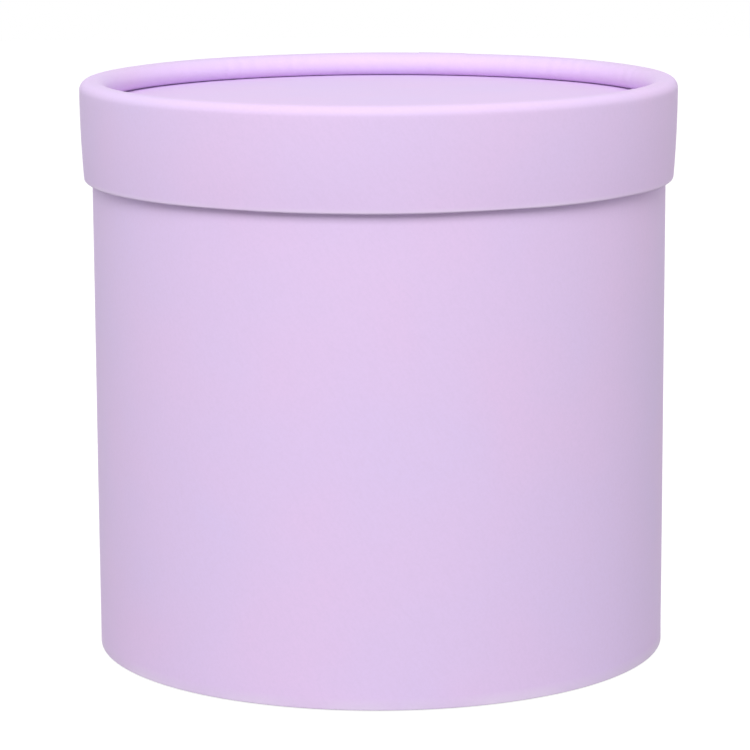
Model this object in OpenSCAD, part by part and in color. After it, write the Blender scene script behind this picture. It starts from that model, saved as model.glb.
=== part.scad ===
// Round gift box of paper-covered board with a lift-off lid.
// The body is a wound tube closed by a disc. The lid is a shallow collar whose top edge is rolled
// inward, with its face held down inside the roll. Origin at the middle of the base, Z up.

/* [Body] */
// Outside diameter of the covered body
body_diameter = 150; // [100:1:220]
// Height of the closed box, from the table to the crest of the lid's rim
box_height = 150; // [90:1:260]
// Thickness of the body tube's wound board
body_wall = 2; // [1.2:0.1:3.5]
// Thickness of the disc that closes the base
base_board_t = 2; // [1:0.1:4]
// Rounding of the covered edge of the body's mouth
mouth_corner = 0.6; // [0.4:0.1:0.9]

/* [Lid] */
// Height of the lid, from its lower edge to the crest of its rim
lid_height = 26; // [24:1:60]
// Thickness of the collar's board
lid_wall = 1; // [0.6:0.1:1.3]
// Thickness of the disc behind the lid's face
lid_board_t = 2; // [1:0.1:4]
// Gap between the lid's turned-in edge and the body's overlap seam
lid_clearance = 0.3; // [0.2:0.05:0.8]
// How far the collar leans out between its lower edge and the rim
lid_flare = 0.87; // [0.4:0.01:2]
// Rounding of the lid's lower outer edge
hem_corner = 1; // [0.6:0.1:1.2]

/* [Rolled rim] */
// Depth of the lid's face below the crest, which is the height of the roll
rim_depth = 6.1; // [5:0.1:9]
// Width of the roll, from the lid's outside to the innermost line of the rim
rim_width = 7; // [6.6:0.1:10]
// Rounding of the rim's outer edge
rim_corner = 2.5; // [1.8:0.1:3]
// Gap between the end of the rolled board and the inside of the collar
roll_end_gap = 0.4; // [0.2:0.1:1.5]

/* [Paper] */
// Thickness of the coloured cover paper with its glue
cover_t = 0.25; // [0.15:0.01:0.35]
// Thickness of the white lining paper
lining_t = 0.2; // [0.1:0.01:0.3]
// How far the cover paper is turned in over the body's mouth
mouth_turn = 15; // [8:1:30]
// How far the cover paper is turned in under the lid's lower edge
lid_turn = 10; // [7:1:13]
// How far the papers are turned onto the flat of a disc
disc_turn = 12; // [6:1:20]
// Width of the paper's overlap seam
seam_lap = 12; // [6:1:25]
// Coloured edge left showing beside the lining in the lid and in the body
lining_setback = 4; // [2:0.5:6]
// How far the paper under the base stops short of the body's outside
base_cover_setback = 1.5; // [0.5:0.5:5]

/* [Hidden] */
$fn = 360;
// Play left round a disc where it slips into its ring
disc_play = 0.1;
// Directions of the two overlap seams, both at the back
body_seam_angle = 90;
lid_seam_angle = 72;
lilac = "#DFC6F0";
white_lining = "#F4F2EE";
greyboard = "#B9B0A4";

// Heights above the table
turn_z = cover_t;
board_z = turn_z + cover_t;
floor_z = board_z + base_board_t;
face_z = box_height - rim_depth;
lid_board_z = face_z - cover_t - lid_board_t;
lid_under_z = lid_board_z - cover_t;
mouth_z = lid_under_z - lining_t;
lid_low_z = box_height - lid_height;

// Radii of the body, from the outside in
body_r = body_diameter / 2;
tube_r = body_r - cover_t;
bore_r = tube_r - body_wall;
mouth_turn_r = bore_r - cover_t;
base_turn_r = bore_r - disc_turn;

// Radii of the lid, from the body's seam outward
hem_t = lid_wall + 2 * cover_t;
hem_r = body_r + cover_t + lid_clearance + hem_t;
rim_r = hem_r + lid_flare;
roll_r = rim_depth / 2;
roll_axis_r = rim_r - rim_width + roll_r;
roll_axis_z = box_height - roll_r;
rim_corner_at = [rim_r - rim_corner, box_height - rim_corner];

// The collar's side curves in toward its lower edge: heights paired with its outer radii
side_low_z = lid_low_z + hem_corner;
side_steps = 6;
side_curve = [
  for (i = [0:side_steps])
    let (u = i / side_steps)
      [side_low_z + u * (rim_corner_at[1] - side_low_z), rim_r - lid_flare * (1 - u) * (1 - u)]
];
hem_corner_at = [hem_r - hem_corner, side_low_z];
collar_t = cover_t + lid_wall;
fold_at = [hem_r - collar_t, lid_low_z + cover_t];
lid_turn_z = lid_low_z + lid_turn;
disc_edge_r = side_r(lid_under_z) - collar_t - disc_play;
face_turn_r = disc_edge_r - disc_turn;

function polar(r, a) = r * [cos(a), sin(a)];

// Outer radius of the collar at height z
function side_r(z) = lookup(z, side_curve);

// Points up the collar's side from z0 to z1, at depth d below the outer surface
function side_line(z0, z1, d) = [
  for (z = concat(z0, [for (p = side_curve) if (p[0] > z0 && p[0] < z1) p[0]], z1))
    [side_r(z) - d, z]
];

function reversed(list) = [for (i = [len(list) - 1:-1:0]) list[i]];

// Angle round the axis that a length of paper takes up at radius r
function lap_angle(length, r) = length / r * 180 / PI;

// Rectangle in the section plane, between two radii and two heights
module strip(r0, r1, z0, z1) {
  translate([r0, z0]) square([r1 - r0, z1 - z0]);
}

// Slice of a ring of thickness t with outer radius r, from angle a0 to angle a1
module arc_band(centre, r, t, a0, a1) {
  reach = 1.5 * r;
  translate(centre)
    intersection() {
      difference() {
        circle(r = r);
        if (r > t) circle(r = r - t);
      }
      polygon([[0, 0], polar(reach, a0), polar(reach, (a0 + a1) / 2), polar(reach, a1)]);
    }
}

// Slice of the collar's side from z0 to z1, between depths d0 and d1
module side_band(z0, z1, d0, d1) {
  polygon(concat(side_line(z0, z1, d0), reversed(side_line(z0, z1, d1))));
}

// Section of the collar's side and its roll, between depths d0 and d1
module rolled_layer(d0, d1) {
  t = d1 - d0;
  side_band(side_low_z, rim_corner_at[1], d0, d1);
  arc_band(rim_corner_at, rim_corner - d0, t, 0, 90);
  strip(roll_axis_r, rim_corner_at[0], box_height - d1, box_height - d0);
  arc_band([roll_axis_r, roll_axis_z], roll_r - d0, t, 90, 270);
  strip(roll_axis_r, rim_r - collar_t - roll_end_gap, face_z + d0, face_z + d1);
}

// Section of the body's board with both edges of its mouth eased
module tube_section() {
  ease = mouth_corner - cover_t;
  top = mouth_z - cover_t;
  strip(bore_r, tube_r, board_z, top - ease);
  strip(bore_r + ease, tube_r - ease, top - ease, top);
  arc_band([tube_r - ease, top - ease], ease, ease, 0, 90);
  arc_band([bore_r + ease, top - ease], ease, ease, 90, 180);
}

module body_tube() {
  color(greyboard) rotate_extrude() tube_section();
}

// Cover paper round the body, turned in over the mouth and under the base
module body_wrap() {
  corner_z = mouth_z - mouth_corner;
  color(lilac) {
    rotate_extrude() {
      strip(base_turn_r, tube_r, turn_z, board_z);
      arc_band([tube_r, board_z], cover_t, cover_t, 270, 360);
      strip(tube_r, body_r, board_z, corner_z);
      arc_band([body_r - mouth_corner, corner_z], mouth_corner, cover_t, 0, 90);
      strip(mouth_turn_r + mouth_corner, body_r - mouth_corner, mouth_z - cover_t, mouth_z);
      arc_band([mouth_turn_r + mouth_corner, corner_z], mouth_corner, cover_t, 90, 180);
      strip(mouth_turn_r, bore_r, mouth_z - mouth_turn, corner_z);
    }
    rotate(body_seam_angle)
      rotate_extrude(angle = lap_angle(seam_lap, body_r))
        strip(tube_r + cover_t / 2, body_r + cover_t, board_z, corner_z);
  }
}

// White lining inside the body, laid over the edge of the turned-in paper
module body_liner() {
  step_z = mouth_z - mouth_turn;
  color(white_lining)
    rotate_extrude() {
      strip(bore_r - lining_t, bore_r, floor_z, step_z);
      strip(mouth_turn_r - lining_t, bore_r, step_z - lining_t, step_z);
      strip(mouth_turn_r - lining_t, mouth_turn_r, step_z, mouth_z - lining_setback);
    }
}

module base_board() {
  color(greyboard) translate([0, 0, board_z]) cylinder(h = base_board_t, r = bore_r - disc_play);
}

// Paper under the base, which steps down over the edge of the turned-under wrap
module base_cover_paper() {
  color(lilac)
    rotate_extrude() {
      strip(0, base_turn_r, turn_z, board_z);
      strip(base_turn_r - cover_t, base_turn_r, 0, board_z);
      strip(base_turn_r, body_r - base_cover_setback, 0, turn_z);
    }
}

module floor_paper() {
  color(white_lining)
    translate([0, 0, floor_z])
      cylinder(h = lining_t, r = bore_r - lining_t - disc_play);
}

// Board collar whose top edge is rolled inward and down onto the lid's face
module lid_collar() {
  ease = hem_corner - cover_t;
  color(greyboard)
    rotate_extrude() {
      rolled_layer(cover_t, collar_t);
      strip(fold_at[0], hem_corner_at[0], fold_at[1], side_low_z);
      arc_band(hem_corner_at, ease, ease, 270, 360);
    }
}

// Cover paper over the collar and its roll, turned in under the lower edge
module lid_wrap() {
  color(lilac) {
    rotate_extrude() {
      rolled_layer(0, cover_t);
      arc_band(hem_corner_at, hem_corner, cover_t, 270, 360);
      strip(fold_at[0], hem_corner_at[0], lid_low_z, fold_at[1]);
      arc_band(fold_at, cover_t, cover_t, 180, 270);
      side_band(fold_at[1], lid_turn_z, collar_t, collar_t + cover_t);
    }
    rotate(lid_seam_angle)
      rotate_extrude(angle = lap_angle(seam_lap, rim_r))
        side_band(side_low_z, rim_corner_at[1], -cover_t, cover_t / 2);
  }
}

module lid_board() {
  color(greyboard)
    translate([0, 0, lid_board_z])
      cylinder(h = lid_board_t, r = disc_edge_r - cover_t);
}

// Cover paper on the lid's face, turned down over the disc's edge and in under it
module lid_face_paper() {
  color(lilac)
    rotate_extrude() {
      strip(0, disc_edge_r, face_z - cover_t, face_z);
      strip(disc_edge_r - cover_t, disc_edge_r, lid_under_z, face_z);
      strip(face_turn_r, disc_edge_r, lid_under_z, lid_board_z);
    }
}

// White lining inside the collar, laid over the edge of the turned-in paper
module lid_liner() {
  over = collar_t + cover_t;
  color(white_lining)
    rotate_extrude() {
      side_band(lid_low_z + lining_setback, lid_turn_z, over, over + lining_t);
      side_band(lid_turn_z, lid_turn_z + lining_t, collar_t, over + lining_t);
      side_band(lid_turn_z + lining_t, lid_under_z, collar_t, collar_t + lining_t);
    }
}

// White lining under the lid's disc, which rests on the body's mouth
module lid_underside_paper() {
  edge_r = side_r(mouth_z) - collar_t - lining_t - disc_play;
  color(white_lining)
    rotate_extrude() {
      strip(0, face_turn_r, lid_board_z - lining_t, lid_board_z);
      strip(face_turn_r - lining_t, face_turn_r, mouth_z, lid_board_z);
      strip(face_turn_r, edge_r, mouth_z, lid_under_z);
    }
}

body_tube();
body_wrap();
body_liner();
base_board();
base_cover_paper();
floor_paper();
lid_collar();
lid_wrap();
lid_board();
lid_face_paper();
lid_liner();
lid_underside_paper();
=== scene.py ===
"""Looks of a round lilac gift box of paper-covered board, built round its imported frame."""

import math
from collections import namedtuple

import bmesh
import bpy
import numpy as np
from mathutils import Matrix, Vector


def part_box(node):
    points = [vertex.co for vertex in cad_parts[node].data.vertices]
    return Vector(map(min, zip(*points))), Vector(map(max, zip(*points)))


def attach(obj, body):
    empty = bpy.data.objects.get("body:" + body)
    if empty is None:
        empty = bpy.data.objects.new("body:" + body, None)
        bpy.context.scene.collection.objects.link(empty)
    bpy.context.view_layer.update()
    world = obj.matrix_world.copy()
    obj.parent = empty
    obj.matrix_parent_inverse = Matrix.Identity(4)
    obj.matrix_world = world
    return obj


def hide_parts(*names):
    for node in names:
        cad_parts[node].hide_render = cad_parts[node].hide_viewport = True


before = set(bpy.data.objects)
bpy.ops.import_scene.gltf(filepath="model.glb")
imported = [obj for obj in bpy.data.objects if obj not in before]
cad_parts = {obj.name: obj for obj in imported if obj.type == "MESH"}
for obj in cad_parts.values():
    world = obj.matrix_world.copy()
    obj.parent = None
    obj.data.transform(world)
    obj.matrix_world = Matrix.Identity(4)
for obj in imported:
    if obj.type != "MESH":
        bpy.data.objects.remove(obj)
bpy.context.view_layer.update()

MM = 0.001
FULL_TURN = 2 * math.pi

# Camera fitted to the photograph's outlines, in metres, radians and millimetres of lens
CAMERA_AT = Vector((0, -0.8625, 0.2286))
CAMERA_YAW = -0.0015
CAMERA_PITCH = 0.1809
CAMERA_ROLL = -0.0049
CAMERA_LENS = 158.55
CAMERA_SENSOR = 36

# Papers and their folds, in millimetres
COVER = 0.25
LINING = 0.2
COLLAR = 1.25
RIM_CORNER = 2.5
RIM_WIDTH = 7
ROLL_END_GAP = 0.4
LID_FLARE = 0.87
HEM_CORNER = 0.5
MOUTH_CORNER = 0.6
MOUTH_TURN = 15
LID_TURN = 10
DISC_TURN = 12
LINING_SETBACK = 4
STEP_WIDTH = 0.8
DISC_PLAY = 0.1
SEAM_LAP = 12
SEAM_CLIMB = 3
GLUE_GAP = 0.02

# Directions of the overlap seams and of the pleat in the roll, in degrees
BODY_SEAM = 90
LID_SEAM = 72
BODY_LINING_SEAM = 100
LID_LINING_SEAM = 60
PLEAT_AT = 99.6

# Rings of a sheet, waves in a ripple, sharpest smooth fold in degrees, doubled points in metres
ROUND_STEPS = 720
WAVES = 9
SHARP_FOLD = 35
SAME_PLACE = 1e-7

# Heights and reaches of the paper's unevenness, in millimetres
LID_WAVE = 0.03
HEM_WAVE = 0.05
HEM_WAVE_REACH = 5
LID_SINK_LIMIT = -0.12
LID_RISE_LIMIT = 0.2
TURN_IN_WAVE = 0.02
GATHER_WAVE = 0.05
GATHER_FADE = 3
ROLL_FOOT_FADE = 1.5
ROLL_LAP_FADE = 3
DENT_DEPTH = 0.2
DENT_WIDTH = 0.5
DENT_HEIGHT = 0.6
DENT_FADE = 0.5
BODY_WAVE = 0.04
BODY_FINE_WAVE = 0.012
BODY_WAVE_FADE = 3
FOOT_LAP_FADE = 1.5
MOUTH_LAP_FADE = 2
FACE_SINK = 0.05
FACE_POLE_FADE = 10
FACE_EDGE_FADE = 4
LINING_WAVE = 0.02
NOTCHES = 32
NOTCH_DEPTH = 0.12
NOTCH_SPREAD = 0.12
NOTCH_HALF = 0.3
NOTCH_EDGE = 0.6
NOTCH_FADE = 2
NEAR = 0.01
# Reach of the paler edges (real wear on the body, painted highlight on the lid's hem) and strength of
# the painted highlight on the lid's crest
WEAR_AND_HIGHLIGHT_REACH = 0.7
CREST_HIGHLIGHT = 0.08


def outer_r(node):
    """Outer radius of a round node in millimetres."""
    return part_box(node)[1].x / MM


def low_z(node):
    """Lowest height of a node in millimetres."""
    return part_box(node)[0].z / MM


def high_z(node):
    """Greatest height of a node in millimetres."""
    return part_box(node)[1].z / MM


body_r = outer_r("body_wrap")
tube_r = outer_r("body_tube")
bore_r = outer_r("body_liner")
board_z = low_z("body_tube")
floor_z = high_z("base_board")
mouth_z = high_z("body_wrap")
base_edge_r = outer_r("base_cover_paper")
rim_r = outer_r("lid_wrap")
crest_z = high_z("lid_wrap")
hem_z = low_z("lid_wrap")
face_z = high_z("lid_face_paper")
under_z = low_z("lid_face_paper")
face_edge_r = outer_r("lid_face_paper")
lid_board_z = low_z("lid_board")
under_lining_z = low_z("lid_underside_paper")
under_edge_r = outer_r("lid_underside_paper")
side_low_z = hem_z + HEM_CORNER


# Outlines of the papers: points (radius, height) and the way the good side faces at each

def smooth(x):
    """Ease from 0 to 1."""
    x = np.clip(x, 0, 1)
    return x * x * (3 - 2 * x)


def side_r(z):
    """Outer radius of the lid's side at a height."""
    share = (z - side_low_z) / (crest_z - RIM_CORNER - side_low_z)
    return rim_r - LID_FLARE * (1 - np.clip(share, 0, 1)) ** 2


def arc(centre, radius, start, end, count):
    """Round fold that faces away from its centre."""
    angle = np.radians(np.linspace(start, end, count))
    facing = np.stack([np.cos(angle), np.sin(angle)], axis=1)
    return np.array(centre) + radius * facing, facing


def curve(points):
    """Line through points that faces to the right of its own direction."""
    points = np.asarray(points, float)
    step = np.gradient(points, axis=0)
    step /= np.linalg.norm(step, axis=1, keepdims=True)
    return points, np.stack([step[:, 1], -step[:, 0]], axis=1)


def run(start, end, count):
    """Straight line that faces to the right of its own direction."""
    share = np.linspace(0, 1, count)[:, None]
    return curve(np.array(start) * (1 - share) + np.array(end) * share)


def joined(*parts):
    """One outline from several that follow on from each other."""
    points, facings = parts[0]
    for more, facing in parts[1:]:
        skip = 1 if np.allclose(points[-1], more[0], atol=1e-3) else 0
        points = np.concatenate([points, more[skip:]])
        facings = np.concatenate([facings, facing[skip:]])
    return points, facings


def lid_path():
    """Cover paper of the lid: turned-in hem, side, rim corner, crest and roll."""
    roll_r = (crest_z - face_z) / 2
    roll_at = (rim_r - RIM_WIDTH + roll_r, crest_z - roll_r)
    corner_at = (rim_r - RIM_CORNER, crest_z - RIM_CORNER)
    hem_r = rim_r - LID_FLARE
    fold_at = (hem_r - COLLAR, hem_z + COVER)
    hem_at = (hem_r - HEM_CORNER, side_low_z)
    turn = np.linspace(hem_z + LID_TURN, fold_at[1], 8)
    side = np.linspace(side_low_z, corner_at[1], 28)
    return joined(
        curve(np.stack([side_r(turn) - COLLAR - COVER, turn], axis=1)),
        arc(fold_at, COVER, 180, 270, 5),
        run((fold_at[0], hem_z), (hem_at[0], hem_z), 3),
        arc(hem_at, HEM_CORNER, 270, 360, 8),
        curve(np.stack([side_r(side), side], axis=1)),
        arc(corner_at, RIM_CORNER, 0, 90, 10),
        run((corner_at[0], crest_z), (roll_at[0], crest_z), 4),
        arc(roll_at, roll_r, 90, 270, 26),
        run((roll_at[0], face_z), (rim_r - COLLAR - ROLL_END_GAP, face_z), 3),
    )


def body_path():
    """Cover paper of the body: turned under the foot, wall, mouth and turned in."""
    corner_z = mouth_z - MOUTH_CORNER
    turn_r = bore_r - COVER
    return joined(
        run((bore_r - DISC_TURN, board_z - COVER), (tube_r, board_z - COVER), 12),
        arc((tube_r, board_z), COVER, 270, 360, 5),
        run((body_r, board_z), (body_r, corner_z), 48),
        arc((body_r - MOUTH_CORNER, corner_z), MOUTH_CORNER, 0, 90, 6),
        run((body_r - MOUTH_CORNER, mouth_z), (turn_r + MOUTH_CORNER, mouth_z), 4),
        arc((turn_r + MOUTH_CORNER, corner_z), MOUTH_CORNER, 90, 180, 6),
        run((turn_r, corner_z), (turn_r, mouth_z - MOUTH_TURN), 14),
    )


def face_path():
    """Cover paper of the lid's face: turned under the disc, up its edge and across."""
    edge_at = face_edge_r - COVER
    return joined(
        run((face_edge_r - DISC_TURN, under_z), (edge_at, under_z), 8),
        arc((edge_at, under_z + COVER), COVER, 270, 360, 4),
        run((face_edge_r, under_z + COVER), (face_edge_r, face_z - COVER), 4),
        arc((edge_at, face_z - COVER), COVER, 0, 90, 4),
        run((edge_at, face_z), (0, face_z), 60),
    )


def stepped_disc(edge_r, step_r, z_in, z_out):
    """Downward-facing disc that steps over the edge of the paper turned in above it."""
    radii = np.unique(np.concatenate([
        np.linspace(0, edge_r, 50),
        np.linspace(step_r - STEP_WIDTH, step_r + STEP_WIDTH, 12),
    ]))
    share = smooth((radii - step_r) / STEP_WIDTH + 0.5)
    return curve(np.stack([radii, z_in + (z_out - z_in) * share], axis=1))


def body_lining_path():
    """White paper down the inside of the body."""
    turn_end_z = mouth_z - MOUTH_TURN
    heights = np.unique(np.concatenate([
        np.linspace(floor_z, mouth_z - LINING_SETBACK, 40),
        np.linspace(turn_end_z - STEP_WIDTH, turn_end_z + STEP_WIDTH, 12),
    ]))[::-1]
    over = smooth((heights - turn_end_z) / STEP_WIDTH + 0.5)
    return curve(np.stack([bore_r - LINING - COVER * over, heights], axis=1))


def lid_lining_path():
    """White paper down the inside of the lid's collar."""
    turn_end_z = hem_z + LID_TURN
    heights = np.unique(np.concatenate([
        np.linspace(hem_z + LINING_SETBACK, under_z, 14),
        np.linspace(turn_end_z - STEP_WIDTH, turn_end_z + STEP_WIDTH, 12),
    ]))[::-1]
    over = smooth(0.5 - (heights - turn_end_z) / STEP_WIDTH)
    radii = side_r(heights) - COLLAR - LINING - COVER * over
    return curve(np.stack([radii, heights], axis=1))


# Small unevenness of hand-laid paper, in millimetres

Spots = namedtuple("Spots", "turn r z facing_r facing_z")


def ripple(turn, along, seed, slow, fast, reach):
    """Seeded waves round the axis, slow to fast in waves a turn, that drift along the paper."""
    random = np.random.default_rng(seed)
    total = np.zeros(np.broadcast(turn, along).shape)
    for _ in range(WAVES):
        count = random.integers(slow, fast + 1)
        drift = random.uniform(-1, 1) * FULL_TURN / reach
        total = total + np.cos(count * turn + drift * along + random.uniform(0, FULL_TURN))
    return total / math.sqrt(WAVES)


def bell(distance, reach):
    """1 in the middle and fading to 0 past the reach."""
    return np.exp(-(distance / reach) ** 2)


def in_lid(at):
    """The paper turned in behind the lid's hem."""
    return (at.facing_r < -0.5) & (at.z < hem_z + LID_TURN + 1)


def lid_relief(at):
    """Waves of the lid's cover paper, with the gathered pleats on the roll's inner side."""
    at_foot = smooth((at.z - face_z) / ROLL_FOOT_FADE)
    inner = smooth((rim_r - RIM_CORNER - at.r) / GATHER_FADE) * at_foot * (at.z > face_z)
    relief = LID_WAVE * ripple(at.turn, at.z, seed=3, slow=2, fast=9, reach=40)
    hem = HEM_WAVE * bell(at.z - hem_z, HEM_WAVE_REACH)
    relief = relief + hem * ripple(at.turn, at.z, seed=5, slow=4, fast=16, reach=60)
    relief = np.clip(relief, LID_SINK_LIMIT, LID_RISE_LIMIT)
    tucked = (at.z < face_z + NEAR) & (at.r < rim_r - RIM_CORNER)
    relief = np.where(tucked, 0, relief)
    turned_in = TURN_IN_WAVE * ripple(at.turn, at.z, seed=9, slow=4, fast=16, reach=60)
    relief = np.where(in_lid(at), turned_in, relief)
    relief = np.where(inner > 0, relief * at_foot, relief)
    relief = relief + GATHER_WAVE * inner * ripple(at.turn, at.z, seed=7, slow=50, fast=120, reach=30)
    away = (at.turn - math.radians(PLEAT_AT) + math.pi) % FULL_TURN - math.pi
    dent = bell(away * at.r, DENT_WIDTH) * bell(at.z - face_z - DENT_HEIGHT, DENT_HEIGHT)
    on_roll = smooth((at.z - face_z) / DENT_FADE) * (at.r < rim_r - RIM_CORNER)
    return relief - DENT_DEPTH * dent * on_roll


def lid_weight(at):
    """Share of the seam's lap that stands out at each place of the lid's cover paper."""
    roll = (at.z > face_z - NEAR) & (at.facing_r < 0)
    outside = 1 - 0.6 * np.clip(at.facing_z, 0, 1)
    weight = np.where(roll, 0.4 * smooth((at.z - face_z) / ROLL_LAP_FADE), outside)
    weight = np.where(at.z < side_low_z, smooth((at.z - hem_z) / HEM_CORNER), weight)
    return np.where(in_lid(at), 0, weight)


def body_relief(at):
    """Waves of the body's cover paper on its board."""
    below_mouth = smooth((mouth_z - at.z) / BODY_WAVE_FADE)
    on_wall = smooth((at.z - board_z) / BODY_WAVE_FADE) * below_mouth
    relief = BODY_WAVE * ripple(at.turn, at.z, seed=11, slow=2, fast=8, reach=150)
    relief = relief + BODY_FINE_WAVE * ripple(at.turn, at.z, seed=13, slow=9, fast=24, reach=60)
    turned_in = 0.4 * relief * below_mouth * (at.z > floor_z)
    return np.where(at.facing_r > 0, relief * on_wall, turned_in)


def body_weight(at):
    """Share of the seam's lap that stands out at each place of the body's cover paper."""
    wall = smooth((at.z - board_z) / FOOT_LAP_FADE) * smooth((mouth_z - at.z) / MOUTH_LAP_FADE)
    return np.where(at.facing_r > 0.5, wall, 0)


def face_relief(at):
    """Slight waves of the face paper where it is glued to its disc."""
    at_pole = smooth(at.r / FACE_POLE_FADE)
    at_edge = smooth((face_edge_r - at.r) / FACE_EDGE_FADE)
    waves = ripple(at.turn, at.r, seed=17, slow=1, fast=6, reach=50)
    return -FACE_SINK * (at.facing_z > 0.5) * at_pole * at_edge * (1 + 0.6 * waves)


def base_relief(at):
    """Edges of the notched turn-under that show through the paper under the base."""
    spacing = FULL_TURN / NOTCHES
    away = np.abs((at.turn + spacing / 2) % spacing - spacing / 2) * at.r
    past_edge = at.r - (bore_r - DISC_TURN)
    half = NOTCH_SPREAD * np.clip(past_edge, 0, None) + NOTCH_HALF
    notch = smooth((half - away) / NOTCH_EDGE + 0.5)
    under = smooth(past_edge / NOTCH_FADE) * smooth((bore_r - 1 - at.r) / NOTCH_FADE)
    return -NOTCH_DEPTH * notch * under


def lining_relief(at):
    """Slight waves of a lining that is glued to its board."""
    return LINING_WAVE * ripple(at.turn, at.z, seed=19, slow=2, fast=9, reach=70)


def lid_painted_highlight(at):
    """Painted highlight: paler paper along the lid's hem and on the upward-facing top of its crest."""
    # Painted highlight on the hem's edge, then on the crest where it faces up
    hem = bell(at.z - hem_z, WEAR_AND_HIGHLIGHT_REACH) * (at.facing_z < 0.3)
    return hem + CREST_HIGHLIGHT * smooth((at.facing_z - 0.5) / 0.4) * (at.z > face_z + 3)


def body_wear(at):
    """Paler paper at the body's foot and mouth."""
    return bell(at.z - board_z, WEAR_AND_HIGHLIGHT_REACH) + bell(at.z - mouth_z, WEAR_AND_HIGHLIGHT_REACH)


def ring_turns(seam):
    """Directions of a sheet's rings, and how far each has gone round from the seam."""
    if seam is None:
        gone = np.arange(ROUND_STEPS) / ROUND_STEPS * FULL_TURN
        return gone, gone
    gone = np.linspace(0, FULL_TURN + SEAM_LAP / body_r, ROUND_STEPS + 1)
    climb = FULL_TURN + np.linspace(-SEAM_CLIMB, 0, 8) / body_r
    gone = np.unique(np.concatenate([gone, climb]))
    return gone + math.radians(seam), gone


def ring_faces(rings, size, closed):
    """Faces between neighbouring rings, with a cap on each end of an open sheet."""
    spans = rings if closed else rings - 1
    first = np.arange(spans)[:, None] * size
    other = (np.arange(spans) + 1)[:, None] % rings * size
    here = np.arange(size)[None, :]
    after = (here + 1) % size
    quads = np.stack([first + here, other + here, other + after, first + after], axis=2)
    faces = quads.reshape(-1, 4).tolist()
    if not closed:
        for start in (0, (rings - 1) * size):
            for k in range(size // 2 - 1):
                a = start + k
                b = start + size - 1 - k
                faces.append([a, a + 1, b - 1, b])
    return faces


def clean_mesh(mesh):
    """Joins doubled points, drops loose edges and turns all faces outward."""
    shell = bmesh.new()
    shell.from_mesh(mesh)
    bmesh.ops.remove_doubles(shell, verts=shell.verts, dist=SAME_PLACE)
    loose = [edge for edge in shell.edges if not edge.link_faces]
    bmesh.ops.delete(shell, geom=loose, context="EDGES")
    bmesh.ops.recalc_face_normals(shell, faces=shell.faces)
    shell.to_mesh(mesh)
    shell.free()
    mesh.polygons.foreach_set("use_smooth", [True] * len(mesh.polygons))
    mesh.set_sharp_from_angle(angle=math.radians(SHARP_FOLD))


def sheet(name, path, thickness, seam=None, weight=None, relief=None, wear_and_highlight=None):
    """Closed paper shell along an outline, as a whole ring or with a lap over its own start."""
    points, facings = path
    turns, gone = ring_turns(seam)
    at = Spots(turns[:, None], points[None, :, 0], points[None, :, 1],
               facings[None, :, 0], facings[None, :, 1])
    lift = np.zeros((len(turns), len(points)))
    if seam is not None:
        over = smooth((gone[:, None] - FULL_TURN) * body_r / SEAM_CLIMB + 1)
        lift = lift + (thickness + GLUE_GAP) * (weight(at) if weight else 1) * over
    if relief:
        lift = lift + relief(at)
    front_r = at.r + at.facing_r * lift
    front_z = at.z + at.facing_z * lift
    back_r = front_r - at.facing_r * thickness
    back_z = front_z - at.facing_z * thickness
    ring_r = np.maximum(np.concatenate([front_r, back_r[:, ::-1]], axis=1), 0)
    ring_z = np.concatenate([front_z, back_z[:, ::-1]], axis=1)
    places = np.stack([ring_r * np.cos(at.turn), ring_r * np.sin(at.turn), ring_z], axis=2) * MM

    mesh = bpy.data.meshes.new(name)
    faces = ring_faces(*ring_r.shape, closed=seam is None)
    mesh.from_pydata(places.reshape(-1, 3).tolist(), [], faces)
    # Per-point share of paler colour: real wear on the body, painted highlight on the lid's hem and
    # crest
    marks = np.zeros(ring_r.shape)
    if wear_and_highlight:
        pale_wear_and_highlight = wear_and_highlight(at)
        marks[:] = np.concatenate([pale_wear_and_highlight, pale_wear_and_highlight[:, ::-1]], axis=1)
    mesh.attributes.new("wear_and_highlight", "FLOAT", "POINT").data.foreach_set("value", marks.ravel())
    clean_mesh(mesh)
    piece = bpy.data.objects.new(name, mesh)
    bpy.context.scene.collection.objects.link(piece)
    return piece


# Materials

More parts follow.
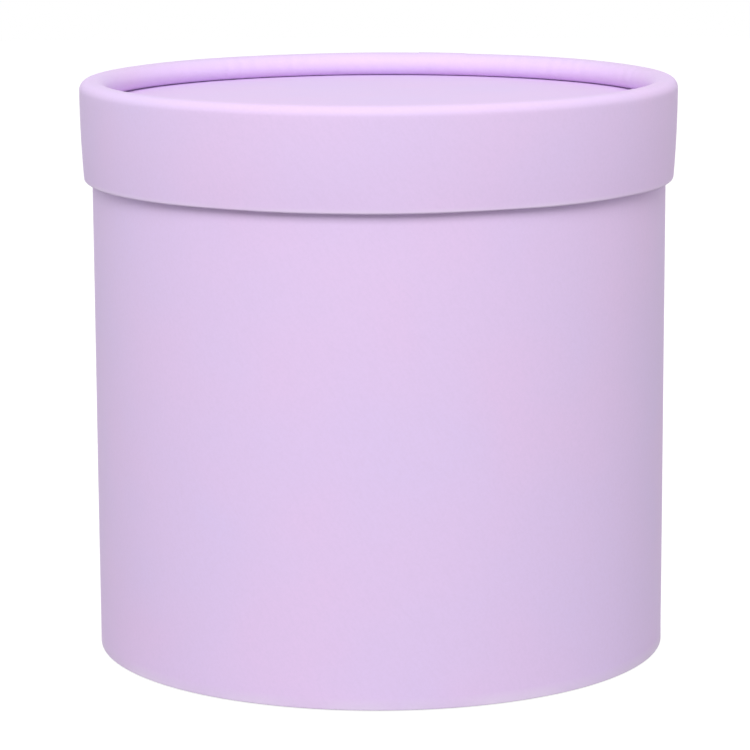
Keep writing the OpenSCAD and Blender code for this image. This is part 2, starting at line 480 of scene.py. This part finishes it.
class Nodes:
    """Short way to write the node tree of a material or of the world."""

    def __init__(self, owner):
        owner.use_nodes = True
        self.tree = owner.node_tree

    def feed(self, socket, value):
        if isinstance(value, bpy.types.NodeSocket):
            self.tree.links.new(value, socket)
        else:
            socket.default_value = value

    def add(self, kind, inputs=None, **settings):
        node = self.tree.nodes.new(kind)
        for key, value in settings.items():
            setattr(node, key, value)
        for key, value in (inputs or {}).items():
            self.feed(node.inputs[key], value)
        return node

    def noise(self, vector, scale, detail, roughness=0.5):
        inputs = {"Vector": vector, "Scale": scale, "Detail": detail, "Roughness": roughness}
        return self.add("ShaderNodeTexNoise", inputs).outputs["Fac"]

    def ramp(self, value, low, high, to_low=0, to_high=1):
        inputs = {"Value": value, "From Min": low, "From Max": high, "To Min": to_low, "To Max": to_high}
        return self.add("ShaderNodeMapRange", inputs).outputs["Result"]

    def mix(self, factor, a, b):
        node = self.add("ShaderNodeMix", data_type="RGBA")
        self.feed(node.inputs[0], factor)
        for index, color in ((6, a), (7, b)):
            self.feed(node.inputs[index], (*color, 1) if isinstance(color, tuple) else color)
        return node.outputs[2]

    def math(self, operation, a, b):
        return self.add("ShaderNodeMath", {0: a, 1: b}, operation=operation).outputs[0]

    def bump(self, height, strength, distance):
        inputs = {"Height": height, "Strength": strength, "Distance": distance}
        return self.add("ShaderNodeBump", inputs).outputs["Normal"]

    def surface(self, color, roughness, normal, specular):
        shader = self.tree.nodes["Principled BSDF"]
        self.feed(shader.inputs["Base Color"], color)
        self.feed(shader.inputs["Roughness"], roughness)
        self.feed(shader.inputs["Normal"], normal)
        self.feed(shader.inputs["Specular IOR Level"], specular)


# Noise scales in features a metre, the fibres' lean in radians and depths of the bump in metres
GRAIN_SCALE = 1300
FIBRE_SCALE = (1400, 1400, 260)
FIBRE_LEAN = (0, 0.6, 0)
CLOUD_SCALE = 40
TINT_SCALE = 24
PAPER_DEPTH = 0.00003
PAPER_DARKEST = 0.93
BOARD_FIBRE_SCALE = 900
BOARD_SPECK_SCALE = 350
BOARD_CLOUD_SCALE = 60
BOARD_DEPTH = 0.00006


def paper(material, base, warm, cool, pale_wear_and_highlight, specular, bump):
    """Fine-grained paper with drawn fibres, faint clouds of colour and paler edges, worn on the body and
    a painted highlight on the lid.
    """
    nodes = Nodes(material)
    place = nodes.add("ShaderNodeTexCoord").outputs["Object"]
    grain = nodes.noise(place, GRAIN_SCALE, 3)
    leaning = nodes.add("ShaderNodeMapping", {"Vector": place, "Rotation": FIBRE_LEAN})
    drawn = nodes.add("ShaderNodeMapping", {"Vector": leaning.outputs[0], "Scale": FIBRE_SCALE})
    fibres = nodes.noise(drawn.outputs[0], 1, 2)
    clouds = nodes.noise(place, CLOUD_SCALE, 3)
    tints = nodes.noise(place, TINT_SCALE, 2)
    color = nodes.mix(nodes.ramp(tints, 0.35, 0.65), warm, cool)
    color = nodes.mix(nodes.ramp(clouds, 0.3, 0.7, 0.35, 0.75), color, base)
    speck = nodes.math("ADD", nodes.math("MULTIPLY", grain, 0.6), nodes.math("MULTIPLY", fibres, 0.4))
    dark = tuple(part * PAPER_DARKEST for part in base)
    color = nodes.mix(nodes.ramp(speck, 0.35, 0.6, 0.35, 0), color, dark)
    # Paler colour by the per-point share: real wear on the body's foot and mouth, painted highlight on
    # the lid's hem and crest
    wear_and_highlight = nodes.add("ShaderNodeAttribute", attribute_name="wear_and_highlight").outputs["Fac"]
    wear_and_highlight_share = nodes.math("MULTIPLY", wear_and_highlight, nodes.ramp(clouds, 0.35, 0.65, 0.25, 0.8))
    color = nodes.mix(wear_and_highlight_share, color, pale_wear_and_highlight)
    roughness = nodes.ramp(speck, 0.3, 0.7, 0.5, 0.62)
    nodes.surface(color, roughness, nodes.bump(speck, bump, PAPER_DEPTH), specular)


def board(material, base, dark, pale):
    """Raw grey board with short fibres and specks."""
    nodes = Nodes(material)
    place = nodes.add("ShaderNodeTexCoord").outputs["Object"]
    fibres = nodes.noise(place, BOARD_FIBRE_SCALE, 5, 0.65)
    specks = nodes.noise(place, BOARD_SPECK_SCALE, 2)
    clouds = nodes.noise(place, BOARD_CLOUD_SCALE, 3)
    color = nodes.mix(nodes.ramp(fibres, 0.35, 0.65), dark, base)
    color = nodes.mix(nodes.ramp(specks, 0.62, 0.72, 0, 0.7), color, pale)
    color = nodes.mix(nodes.ramp(clouds, 0.3, 0.7, 0, 0.3), color, base)
    roughness = nodes.ramp(fibres, 0.3, 0.7, 0.75, 0.9)
    nodes.surface(color, roughness, nodes.bump(fibres, 0.35, BOARD_DEPTH), 0.2)


finishes = {name: bpy.data.materials.new(name + "_look")
            for name in ("cover_paper", "lining_paper", "greyboard")}
# The pale colour marks worn edges on the body and the painted highlight on the lid's hem and crest
paper(finishes["cover_paper"], base=(0.76, 0.59, 0.87), warm=(0.79, 0.58, 0.86),
      cool=(0.73, 0.59, 0.89), pale_wear_and_highlight=(0.84, 0.73, 0.92), specular=0.2, bump=0.2)
paper(finishes["lining_paper"], base=(0.86, 0.84, 0.81), warm=(0.87, 0.84, 0.79),
      cool=(0.85, 0.84, 0.82), pale_wear_and_highlight=(0.88, 0.86, 0.84), specular=0.2, bump=0.25)
board(finishes["greyboard"], base=(0.42, 0.38, 0.33), dark=(0.3, 0.27, 0.23), pale=(0.6, 0.56, 0.5))

for node in ("body_tube", "base_board", "lid_collar", "lid_board"):
    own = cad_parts[node].material_slots[0]
    own.link = "OBJECT"
    own.material = finishes["greyboard"]


# Pieces

def place_piece(piece, node, body, slot):
    """Give a piece its material and body, in place of its plain solid."""
    piece.data.materials.append(finishes[slot])
    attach(piece, body)
    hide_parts(node)


cover = "cover_paper"
lining = "lining_paper"
floor_r = bore_r - LINING - DISC_PLAY
floor_path = run((floor_r, floor_z + LINING), (0, floor_z + LINING), 50)
under_path = stepped_disc(under_edge_r, face_edge_r - DISC_TURN, lid_board_z - LINING, under_lining_z)
base_path = stepped_disc(base_edge_r, bore_r - DISC_TURN, board_z - COVER, 0)

place_piece(sheet("lid_paper", lid_path(), COVER, LID_SEAM, lid_weight, lid_relief, lid_painted_highlight),
            "lid_wrap", "lid", cover)
place_piece(sheet("lid_face", face_path(), COVER, relief=face_relief), "lid_face_paper", "lid", cover)
place_piece(sheet("lid_lining", lid_lining_path(), LINING, LID_LINING_SEAM, relief=lining_relief),
            "lid_liner", "lid", lining)
place_piece(sheet("lid_under_lining", under_path, LINING), "lid_underside_paper", "lid", lining)
place_piece(sheet("body_paper", body_path(), COVER, BODY_SEAM, body_weight, body_relief, body_wear),
            "body_wrap", "body", cover)
place_piece(sheet("body_lining", body_lining_path(), LINING, BODY_LINING_SEAM, relief=lining_relief),
            "body_liner", "body", lining)
place_piece(sheet("floor_lining", floor_path, LINING), "floor_paper", "body", lining)
place_piece(sheet("base_paper", base_path, COVER, relief=base_relief), "base_cover_paper", "body", cover)


# Surroundings, in metres and watts, with levels where 1 is white

AMBIENT = 0.45
FLOOR_SIZE = 4
FLOOR_DROP = 0.0002
FLOOR_BOUNCE = 0.35
FLOOR_GLOW = 1.18
SHADOW_SHARE = 0.25
LAMP_AIM = Vector((0, 0, 0.08))
KEY_AT = Vector((-0.17, -2.35, 2.2))
KEY_SIZE = 1.7
KEY_POWER = 81
FILL_AT = Vector((1.18, 0.2, 0.35))
FILL_SIZE = 1
FILL_POWER = 2.8


def seen_directly(nodes):
    """1 for rays from the camera and for what mirrors and clear things show."""
    path = nodes.add("ShaderNodeLightPath")
    seen = nodes.math("MAXIMUM", path.outputs["Is Camera Ray"], path.outputs["Is Glossy Ray"])
    return nodes.math("MAXIMUM", seen, path.outputs["Is Transmission Ray"])


def add_world():
    """Soft even light, with plain white where it is seen."""
    world = bpy.data.worlds.new("surroundings")
    bpy.context.scene.world = world
    nodes = Nodes(world)
    background = nodes.tree.nodes["Background"]
    color = nodes.mix(seen_directly(nodes), (AMBIENT, AMBIENT, AMBIENT), (1.0, 1.0, 1.0))
    nodes.feed(background.inputs["Color"], color)
    nodes.feed(background.inputs["Strength"], 1)


def add_floor():
    """White floor that keeps a faint shadow."""
    half = FLOOR_SIZE / 2
    mesh = bpy.data.meshes.new("floor")
    corners = [(-half, -half, 0), (half, -half, 0), (half, half, 0), (-half, half, 0)]
    mesh.from_pydata(corners, [], [(0, 1, 2, 3)])
    floor = bpy.data.objects.new("floor", mesh)
    floor.location.z = -FLOOR_DROP
    bpy.context.scene.collection.objects.link(floor)
    material = bpy.data.materials.new("floor")
    nodes = Nodes(material)
    nodes.tree.nodes.remove(nodes.tree.nodes["Principled BSDF"])
    white = nodes.add("ShaderNodeEmission", {"Color": (1, 1, 1, 1), "Strength": FLOOR_GLOW})
    lit = nodes.add("ShaderNodeBsdfDiffuse", {"Color": (1, 1, 1, 1)})
    shown = nodes.add("ShaderNodeMixShader", {0: SHADOW_SHARE, 1: white.outputs[0], 2: lit.outputs[0]})
    plain = nodes.add("ShaderNodeBsdfDiffuse", {"Color": (FLOOR_BOUNCE, FLOOR_BOUNCE, FLOOR_BOUNCE, 1)})
    both = nodes.add("ShaderNodeMixShader",
                     {0: seen_directly(nodes), 1: plain.outputs[0], 2: shown.outputs[0]})
    nodes.feed(nodes.tree.nodes["Material Output"].inputs["Surface"], both.outputs[0])
    mesh.materials.append(material)


def add_lamp(name, at, size, power):
    """Square soft lamp aimed at the box."""
    lamp = bpy.data.lights.new(name, "AREA")
    lamp.size = size
    lamp.energy = power
    holder = bpy.data.objects.new(name, lamp)
    holder.location = at
    holder.rotation_euler = (LAMP_AIM - at).to_track_quat("-Z", "Y").to_euler()
    bpy.context.scene.collection.objects.link(holder)


def add_camera():
    """Camera from its place, its heading and its lens."""
    forward = Vector((math.sin(CAMERA_YAW) * math.cos(CAMERA_PITCH),
                      math.cos(CAMERA_YAW) * math.cos(CAMERA_PITCH),
                      -math.sin(CAMERA_PITCH)))
    level = Vector((math.cos(CAMERA_YAW), -math.sin(CAMERA_YAW), 0))
    upward = level.cross(forward)
    right = math.cos(CAMERA_ROLL) * level + math.sin(CAMERA_ROLL) * upward
    up = math.cos(CAMERA_ROLL) * upward - math.sin(CAMERA_ROLL) * level
    lens = bpy.data.cameras.new("camera")
    lens.lens = CAMERA_LENS
    lens.sensor_width = CAMERA_SENSOR
    camera = bpy.data.objects.new("camera", lens)
    turn = Matrix((right, up, -forward)).transposed().to_4x4()
    camera.matrix_world = Matrix.Translation(CAMERA_AT) @ turn
    bpy.context.scene.collection.objects.link(camera)
    bpy.context.scene.camera = camera


add_world()
add_floor()
add_lamp("key", KEY_AT, KEY_SIZE, KEY_POWER)
add_lamp("fill_right", FILL_AT, FILL_SIZE, FILL_POWER)
add_lamp("fill_left", Vector((-FILL_AT.x, FILL_AT.y, FILL_AT.z)), FILL_SIZE, FILL_POWER)
add_camera()
bpy.context.scene.view_settings.view_transform = "Standard"
